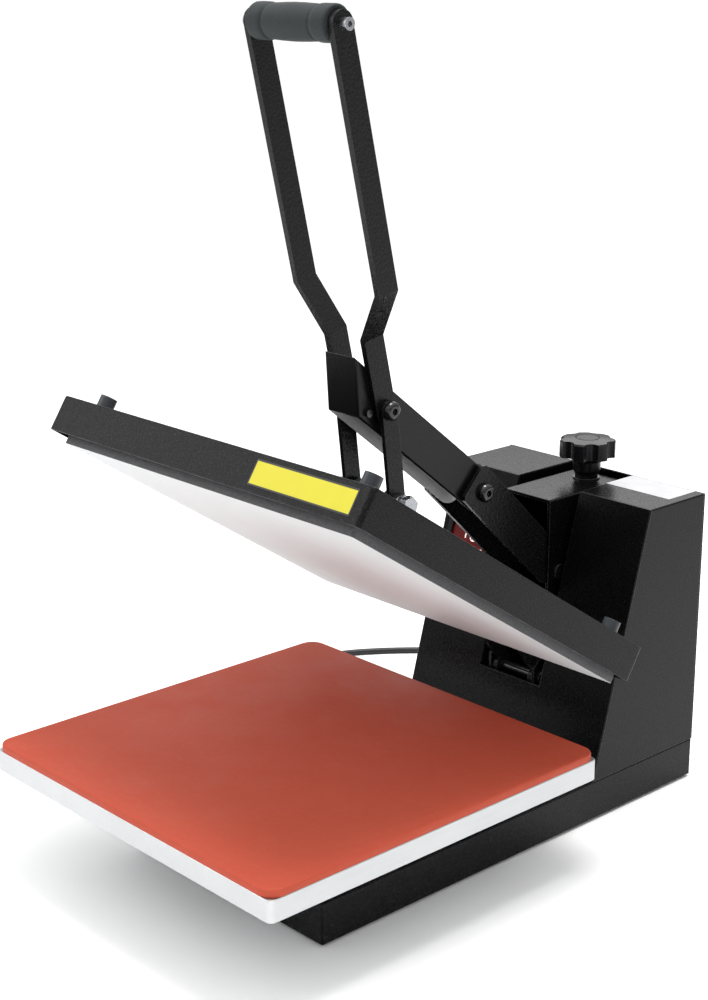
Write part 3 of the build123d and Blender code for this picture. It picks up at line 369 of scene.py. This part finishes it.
def foam_material():
    """Grey foam rubber with open pores, their pits painted darker as shade."""
    n = Nodes("foam")
    pores = n.cells(1500, feature="SMOOTH_F1")
    tone = n.mix(n.noise(50, 4), (0.013, 0.018, 0.019), (0.022, 0.029, 0.030))
    height = n.math("ADD", pores, n.math("MULTIPLY", n.noise(700, 4), 0.8))
    n.set(
        # the pore pits are painted darker: painted shade in the recesses
        Base_Color=n.mix(n.spread(pores, 0.1, 0.5), (0.007, 0.009, 0.010), tone),
        Roughness=0.7,
        Specular_IOR_Level=0.3,
        Sheen_Weight=0.06,
        Normal=n.bump(height, 0.55, 0.25 * MM),
    )
    return n.material


def yellow_material():
    """Plain yellow foil with a thin dark border and no print."""
    n = Nodes("label_yellow")
    low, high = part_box("caution_label")
    middle, half = (low + high) / 2, (high - low) / 2
    far_x = n.math("ABSOLUTE", n.math("SUBTRACT", n.axis("X"), middle.x))
    far_z = n.math("ABSOLUTE", n.math("SUBTRACT", n.axis("Z"), middle.z))
    border = n.math(
        "MAXIMUM",
        n.spread(far_x, half.x - 1.5 * MM, half.x - 1.3 * MM),
        n.spread(far_z, half.z - 1.4 * MM, half.z - 1.2 * MM),
    )
    tone = n.mix(n.noise(60, 3), (0.50, 0.45, 0.010), (0.56, 0.50, 0.014))
    n.set(
        Base_Color=n.mix(border, tone, (0.02, 0.02, 0.02)),
        Roughness=0.34,
        Specular_IOR_Level=0.3,
        Normal=n.bump(n.noise(300, 2), 0.2, 0.01 * MM),
    )
    return n.material


def display_material():
    """Dark red window."""
    n = Nodes("display_window")
    n.set(Base_Color=n.mix(n.noise(30, 3), (0.11, 0.007, 0.008), (0.17, 0.010, 0.011)), Roughness=0.16)
    return n.material


def lit_material():
    """Glowing digits."""
    n = Nodes("display_digits")
    glow = n.mix(n.noise(300, 2), (0.95, 0.72, 0.68), (1.0, 0.9, 0.88))
    n.set(Base_Color=glow, Emission_Color=glow, Emission_Strength=0.6, Roughness=0.4)
    return n.material


PAINT = (
    (coat_housing, "base_frame", "tower_frame", "front_panel", "housing_left_shell",
        "housing_right_shell", "rear_panel"),
    (rubber, "rubber_feet"),
    (coat, "platen_pedestal", "rocker_plate_left", "rocker_plate_right", "handle_bar_left",
        "handle_bar_right", "link_bar_left", "link_bar_right", "yoke_base", "yoke_plate_left",
        "yoke_plate_right"),
    (standoff_metal, "platen_standoffs"),
    (plate_metal, "lower_platen"),
    (zinc, "platen_screws", "pressure_screw", "grip_rod", "grip_screws", "link_bolts", "thermostat",
        "yoke_bolts", "yoke_pin"),
    (dark_steel, "tower_bolts", "pivot_pins", "housing_screws", "knob_washer", "trunnion_nut",
        "arm_pivot_bolt", "cap_screws", "knee_bolt"),
    (label_white, "rating_label"),
    (display_material(), "display_module"),
    (gloss_plastic, "display_bezel", "switch_frame"),
    (board, "controller_board"),
    (relay, "solid_state_relay"),
    (plug_rubber, "cord_gland"),
    (knob_plastic, "pressure_knob"),
    (arm_material(), "arm_channel"),
    (coat_cover, "platen_cover"),
    (underside_material(), "heating_plate"),
    (heater, "heating_elements"),
    (wool, "insulation_board"),
    (stud_coat, "cover_studs"),
    (yellow_material(), "caution_label"),
    (key_plastic, "mode_button", "down_button", "up_button"),
    (red_plastic, "power_switch"),
)
for material, *names in PAINT:
    for name in names:
        slots = nodes[name].data.materials
        slots.clear()
        slots.append(material)


# ---------------------------------------------------------------- power cord
CORD_D = 7 * MM
# points of the route, the coil and the plug are in millimetres, as in the part's source
ROUTE = [
    (-96.0, 334.0, 66.0), (-96.6, 352, 65.2), (-98.8, 371, 59.5), (-103.5, 388, 48.5), (-111, 402, 34),
    (-122.5, 412.5, 20), (-138.5, 419, 10), (-158, 420.5, 5), (-180, 417, 3.5), (-208, 409, 3.5),
    (-240, 394, 3.5), (-272, 371, 3.5), (-303, 340, 3.5), (-332, 305, 3.5), (-355, 268, 3.5),
    (-368, 225, 3.5), (-370, 180, 3.5), (-361, 138, 3.5), (-349, 102, 3.5), (-341.5, 78, 3.5),
    (-339.5, 62, 3.5),
]
COIL_AT = (-298.0, 52.0)
PLUG_AT = (-298.0, 30.0, 25.0)
TURN_POINTS, TURNS = 16, 4
CORD_R = 3.5
# the four strands stand at the corners of a square about this radius and height
BUNDLE_R, BUNDLE_Z, CORNER = 39.0, 7.0, CORD_R * math.sqrt(2)
# a circle's control points stand outside it, so that the curve between them follows it
PULL = math.cos(math.pi / TURN_POINTS) ** 0.75
TAIL_BEND = 33.5


def coil_points():
    """Control points of the turns, counter-clockwise from the left; the bundle twists a quarter each turn."""
    points = []
    for turn in range(TURNS):
        for step in range(TURN_POINTS):
            if turn == TURNS - 1 and step >= TURN_POINTS // 2:
                break
            share = max(0.0, step / TURN_POINTS * 2 - 1)
            share = share * share * (3 - 2 * share)
            twist = math.radians(90 * share)
            phase = math.radians(-45 - 90 * turn) - twist
            lift = CORNER * math.cos(twist - math.radians(45)) - CORD_R
            r = (BUNDLE_R + CORNER * math.cos(phase)) / PULL
            angle = math.pi + 2 * math.pi * step / TURN_POINTS
            points.append((
                COIL_AT[0] + r * math.cos(angle), COIL_AT[1] + r * math.sin(angle),
                BUNDLE_Z + lift + CORNER * math.sin(phase),
            ))
    return points


def arc(centre, stations):
    """Control points about a centre, each from its degrees, radius and height."""
    points = []
    for degrees, r, z in stations:
        angle, reach = math.radians(degrees), r / PULL
        points.append((centre[0] + reach * math.cos(angle), centre[1] + reach * math.sin(angle), z))
    return points


def tail_points():
    """From the last turn's right side over the coil, and round into the plug."""
    plug_x, plug_y, plug_z = PLUG_AT
    centre = (plug_x - 15, plug_y + TAIL_BEND)
    over_coil = ((0, 42.6, 10.6), (22.5, 43.4, 12.2), (45, 44.4, 14.2), (67.5, 45.0, 16.0))
    heights = (17.6, 18.4, 19.2, 20.4, 21.8, 23.2, 24.3, 24.9)
    into_plug = [(90 + 22.5 * k, TAIL_BEND, z) for k, z in enumerate(heights)]
    ends = [(centre[0] + past, plug_y, plug_z) for past in (-3, 1.5)]
    return arc(COIL_AT, over_coil) + arc(centre, into_plug) + ends


def nurbs(name, points, diameter):
    """One smooth open NURBS tube through the points, given in millimetres."""
    curve = bpy.data.curves.new(name, "CURVE")
    curve.dimensions = "3D"
    curve.bevel_depth = diameter / 2
    curve.bevel_resolution = 6
    curve.use_fill_caps = True
    spline = curve.splines.new("NURBS")
    spline.points.add(len(points) - 1)
    for spot, p in zip(spline.points, points):
        spot.co = (p[0] * MM, p[1] * MM, p[2] * MM, 1)
    spline.order_u = 3
    spline.use_endpoint_u = True
    spline.resolution_u = 10
    return link(bpy.data.objects.new(name, curve))


flex = nurbs("power_flex", ROUTE + coil_points() + tail_points(), CORD_D)
flex.data.materials.append(cord_jacket)
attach(flex, "base")
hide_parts("power_cord", "cord_coil")


def plug_mesh():
    """Moulded plug along +X: ribbed strain relief, waist and body with finger ridges."""
    start_x, axis_y, axis_z = PLUG_AT
    # each section is its place along X, half width, half height and how square it is
    sections = [(-14, 4.4, 4.4, 2.0), (-13, 4.6, 4.6, 2.0)]
    for rib in range(5):
        x, r = -11 + rib * 3.6, 4.8 + rib * 0.45
        sections += [(x, r, r, 2.0), (x + 1.8, r, r, 2.0)]
        sections += [(x + 1.9, r - 0.9, r - 0.9, 2.0), (x + 3.4, r - 0.8, r - 0.8, 2.0)]
    sections += [(8, 7.6, 7.4, 2.2), (9.5, 10, 9, 2.6), (12, 12, 10.2, 3.2), (18, 12.3, 10.6, 3.6)]
    for ridge in range(4):
        x = 20 + ridge * 3.2
        sections += [(x, 12.2, 10.4, 3.6), (x + 0.8, 11.4, 9.6, 3.6)]
        sections += [(x + 1.6, 11.4, 9.6, 3.6), (x + 2.4, 12.2, 10.4, 3.6)]
    sections += [(34, 12.8, 10.9, 4.0), (41, 12.9, 10.9, 4.2), (42, 12.4, 10.4, 4.2)]
    bm = bmesh.new()
    rings = []
    for x, half_y, half_z, power in sections:
        rings.append(ring(bm, [
            (start_x + x, axis_y + squared(c, power) * half_y, axis_z + squared(s, power) * half_z)
            for c, s in circle(48)
        ]))
    loft(bm, rings)
    return mesh_object("plug_body", bm)


def pin_mesh():
    """Two flat blades and a round earth pin with tapered tips."""
    root_x, axis_y, axis_z = PLUG_AT[0] + 41.5, PLUG_AT[1], PLUG_AT[2]
    bm = bmesh.new()
    for blade_y in (axis_y - 6.35, axis_y + 6.35):
        rings = []
        for x, shrink in ((0, 1), (16, 1), (18, 0.55)):
            half_y, half_z = 0.8 * shrink, 3.2 * (0.5 + shrink / 2)
            rings.append(ring(bm, [
                (root_x + x, blade_y + a * half_y, axis_z + 3 + b * half_z) for a, b in SQUARE
            ]))
        loft(bm, rings)
    rings = []
    for x, r in ((0, 2.4), (16, 2.4), (18, 1.2)):
        rings.append(ring(bm, [(root_x + x, axis_y + r * c, axis_z - 6 + r * s) for c, s in circle(24)]))
    loft(bm, rings)
    return mesh_object("plug_pins", bm, smooth=False)


plug = plug_mesh()
plug.data.materials.append(plug_rubber)
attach(plug, "base")
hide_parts("power_plug")
pins = pin_mesh()
pins.data.materials.append(zinc)
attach(pins, "base")


def tie_mesh():
    """Strap wound once around the coil's section, on its right side."""
    angle, half_width = math.radians(11), 4
    mid_r, mid_z = BUNDLE_R, 7.4
    bm = bmesh.new()
    rings = []
    for c, s in circle(32):
        in_r, in_z = mid_r + squared(c, 4) * 7.7, mid_z + squared(s, 4) * 7.3
        out_r, out_z = in_r + (in_r - mid_r) * 0.09, in_z + (in_z - mid_z) * 0.06
        section = []
        for r, z, side in ((in_r, in_z, -1), (out_r, out_z, -1), (out_r, out_z, 1), (in_r, in_z, 1)):
            across = side * half_width
            x = COIL_AT[0] + r * math.cos(angle) - across * math.sin(angle)
            y = COIL_AT[1] + r * math.sin(angle) + across * math.cos(angle)
            section.append((x, y, max(z, 0.05)))
        rings.append(ring(bm, section))
    loft(bm, rings + rings[:1], capped=False)
    return mesh_object("cord_tie", bm)


tie = tie_mesh()
tie.data.materials.append(rubber)
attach(tie, "base")


# ---------------------------------------------------------------- silicone pad
PAD_CORNER, PAD_EDGE, PAD_WAVE = 15, 1.3, 0.12


def pad_loop(half_w, half_d, inset, steps=10):
    """The pad's outline about its centre, inset evenly on all sides."""
    r = max(PAD_CORNER - inset, 0.4)
    reach_x, reach_y = half_w - inset - r, half_d - inset - r
    points = []
    for (side_x, side_y), start in zip(((1, 1), (-1, 1), (-1, -1), (1, -1)), (0, 90, 180, 270)):
        for k in range(steps + 1):
            t = math.radians(start + 90 * k / steps)
            points.append((side_x * reach_x + r * math.cos(t), side_y * reach_y + r * math.sin(t)))
    return points


def pad_mesh():
    """Flat silicone sheet with round corners, a rounded upper edge and a faint wave on its top."""
    low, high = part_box("silicone_pad")
    middle, half = (low + high) / 2 / MM, (high - low) / 2 / MM
    bottom, top = low.z / MM, high.z / MM
    shoulder = top - PAD_EDGE
    levels = [(1.2, bottom), (0.5, bottom + 0.2), (0.1, bottom + 0.9), (0.0, bottom + 3.4), (0.1, shoulder)]
    for k in range(1, 6):
        t = math.radians(90 * k / 5)
        levels.append((0.1 + PAD_EDGE * (1 - math.cos(t)), shoulder + PAD_EDGE * math.sin(t)))
    levels += [(inset, top) for inset in (4, 9, 16, 26, 40, 58, 80, 105, 132, 158, 180)]
    bm = bmesh.new()
    rings = []
    for inset, z in levels:
        section = []
        for x, y in pad_loop(half.x, half.y, inset):
            wave = PAD_WAVE * noise.noise(Vector((x, y, 0)) * 0.012) if z > bottom + 4 else 0.0
            section.append((middle.x + x, middle.y + y, z + wave))
        rings.append(ring(bm, section))
    loft(bm, rings)
    return mesh_object("pad_sheet", bm)


pad = pad_mesh()
pad.data.materials.append(silicone_material())
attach(pad, "base")
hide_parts("silicone_pad")


# ---------------------------------------------------------------- foam grip
BORE_R, END_R, COLLAR_R, GROOVE_R, BARREL_R = 8.3, 13.4, 15.35, 13.9, 15.4


def grip_profile(half):
    """Place along the sleeve and radius: a collar, a groove and half a slight barrel, mirrored."""
    end_curve = 1.9
    profile = [(0, BORE_R), (0, END_R)]
    for k in range(1, 7):
        t = math.radians(90 * k / 6)
        profile.append((end_curve * (1 - math.cos(t)), END_R + end_curve * math.sin(t)))
    profile += [(x, COLLAR_R) for x in (4, 7, 10, 13)]
    profile += [(16, 15.2), (17.3, 14.7), (18.2, GROOVE_R), (19.2, GROOVE_R)]
    barrel_from, barrel_edge, steps = 20.2, 14.5, 14
    for k in range(steps):
        x = barrel_from + (half - barrel_from) * k / steps
        profile.append((x, barrel_edge + (BARREL_R - barrel_edge) * math.sin(math.radians(90 * k / steps))))
    left = [(x - half, r) for x, r in profile]
    return left + [(0, BARREL_R)] + [(-x, r) for x, r in reversed(left)]


def grip_mesh():
    """Foam sleeve with soft collars at both ends and a faintly uneven surface."""
    low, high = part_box("foam_grip")
    middle, half = (low + high) / 2 / MM, (high.x - low.x) / 2 / MM
    bm = bmesh.new()
    rings = []
    for x, r in grip_profile(half):
        section = []
        for c, s in circle(72):
            uneven = 0.10 * noise.noise(Vector((x * 0.16, 9 * c, 9 * s))) if r > BORE_R else 0
            reach = r + uneven
            section.append((middle.x + x, middle.y + reach * c, middle.z + reach * s))
        rings.append(ring(bm, section))
    loft(bm, rings + rings[:1], capped=False)
    return mesh_object("grip_sleeve", bm)


grip = grip_mesh()
grip.data.materials.append(foam_material())
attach(grip, "lever")
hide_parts("foam_grip")

# ---------------------------------------------------------------- display digits
# slope of the front panel, and half the display's thickness
PANEL_RUN, PANEL_RISE, MODULE_HALF = 69.8, 255.0, 3.15
# each stroke's middle in widths and half heights, and whether it lies along the width
STROKES = {
    "a": (0, 1, True), "b": (0.5, 0.5, False), "c": (0.5, -0.5, False), "d": (0, -1, True),
    "e": (-0.5, -0.5, False), "f": (-0.5, 0.5, False), "g": (0, 0, True),
}
DIGITS = {"0": "abcdef", "1": "bc", "3": "abcdg", "5": "acdfg", "8": "abcdefg"}


def digits_mesh():
    """Two rows of seven-segment digits, raised just above the display's outer face."""
    low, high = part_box("display_module")
    tilt = math.atan2(PANEL_RUN, PANEL_RISE)
    right = Vector((1, 0, 0))
    up = Vector((0, math.sin(tilt), math.cos(tilt)))
    out = Vector((0, -math.cos(tilt), math.sin(tilt)))
    face = (low + high) / 2 + out * MODULE_HALF * MM
    half_stroke, tip_gap, pitch_gap = 0.75, 0.7, 7.0
    bm = bmesh.new()
    for text, row_z, width, height in (("180", 9.0, 6.6, 12.4), ("035", -9.5, 5.4, 10.0)):
        for index, mark in enumerate(text):
            middle_x = (index - 1) * (width + pitch_gap)
            for stroke in DIGITS[mark]:
                at_x, at_z, along = STROKES[stroke]
                x, z = middle_x + at_x * width, row_z + at_z * height / 2
                half_x = width / 2 - tip_gap if along else half_stroke
                half_z = half_stroke if along else height / 4 - tip_gap
                corners = [right * (x + a * half_x) + up * (z + b * half_z) for a, b in SQUARE]
                rings = []
                for depth in (0.02, 0.12):
                    rings.append([bm.verts.new(face + (corner + out * depth) * MM) for corner in corners])
                loft(bm, rings)
    return mesh_object("display_digits", bm, smooth=False)


digits = digits_mesh()
digits.data.materials.append(lit_material())
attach(digits, "base")

# ---------------------------------------------------------------- stage and light
# wide enough that its edge meets the horizon in low views; the dim sky shows as a band above it
FLOOR_HALF = 300
floor_mesh = bpy.data.meshes.new("floor")
floor_mesh.from_pydata([(x * FLOOR_HALF, y * FLOOR_HALF, 0) for x, y in SQUARE], [], [(0, 1, 2, 3)])
floor = link(bpy.data.objects.new("floor", floor_mesh))
paper = Nodes("paper")
paper.set(Base_Color=(0.96, 0.96, 0.96), Roughness=0.85, Specular_IOR_Level=0.1)
floor.data.materials.append(paper.material)

# a studio sky, brightest overhead and dim at the horizon
world = bpy.data.worlds.new("studio")
world.use_nodes = True
sky = world.node_tree
direction = sky.nodes.new("ShaderNodeTexCoord").outputs["Generated"]
split = sky.nodes.new("ShaderNodeSeparateXYZ")
rise = sky.nodes.new("ShaderNodeMapRange")
sky.links.new(direction, split.inputs["Vector"])
sky.links.new(split.outputs["Z"], rise.inputs["Value"])
for key, value in (("From Min", 0.0), ("From Max", 1.0), ("To Min", 0.16), ("To Max", 1.56)):
    rise.inputs[key].default_value = value
sky.nodes["Background"].inputs["Color"].default_value = (1, 1, 1, 1)
sky.links.new(rise.outputs["Result"], sky.nodes["Background"].inputs["Strength"])
scene.world = world
scene.view_settings.view_transform = "Standard"


def softbox(name, location, target, size, power):
    """Rectangular area light aimed at a point."""
    data = bpy.data.lights.new(name, "AREA")
    data.shape = "RECTANGLE"
    data.size, data.size_y = size
    data.energy = power
    lamp = link(bpy.data.objects.new(name, data))
    lamp.location = location
    lamp.rotation_euler = (Vector(target) - Vector(location)).to_track_quat("-Z", "Y").to_euler()
    return lamp


softbox("key", (-1.45, -1.35, 1.35), (0, -0.25, 0.4), (1.3, 1.3), 12)
softbox("back", (-1.5, 1.8, 1.35), (0.05, 0.2, 0.3), (1.6, 0.8), 8)
softbox("top", (0.2, 0.3, 2.5), (0, 0, 0.3), (0.8, 0.8), 44)
softbox("fill", (1.2, -1.5, 0.3), (0, 0.1, 0.35), (1.0, 0.5), 6)
